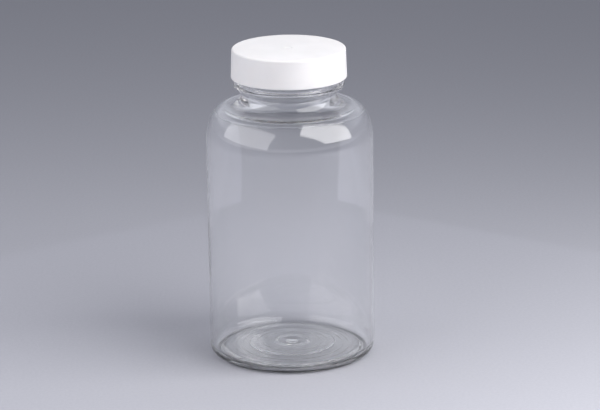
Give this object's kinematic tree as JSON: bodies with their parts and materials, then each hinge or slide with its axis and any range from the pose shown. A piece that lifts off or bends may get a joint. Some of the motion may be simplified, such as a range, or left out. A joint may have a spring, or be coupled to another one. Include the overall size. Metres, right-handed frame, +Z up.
{
  "type": "screw cap bottle",
  "caption": "Clear wide-mouth plastic bottle with rounded shoulders, a ringed base and a white smooth-sided screw cap that unscrews and lifts off with its foam liner.",
  "frame": {"origin": "centre of the base, on the surface that the bottle stands on", "axes": "+Z up the bottle's axis, towards the cap; the bottle is round, so +X and +Y are any two directions across it"},
  "size_m": [0.0598, 0.0598, 0.1127],
  "materials": {
    "clear_pet": "clear glossy moulded PET",
    "liner_foam": "foamed polyethylene sheet, matt",
    "white_pp": "opaque white polypropylene, satin"
  },
  "bodies": {
    "bottle": {"bottle": "clear_pet"},
    "cap_liner": {"cap_liner": "liner_foam"},
    "screw_cap": {"screw_cap": "white_pp"}
  },
  "joints": [
    {"name": "cap_rise", "type": "slide", "parent": "bottle", "child": "cap_liner", "axis": [0, 0, 1], "range_m": [0, 0.0128]},
    {"name": "cap_turn", "type": "hinge", "parent": "cap_liner", "child": "screw_cap", "pos_m": [0, 0, 0.107], "axis": [0, 0, 1], "range_deg": [0, 1080]}
  ],
  "couplings": [
    {"joint": "cap_rise", "follows": "cap_turn", "m_per_rad": 0.00067376}
  ]
}
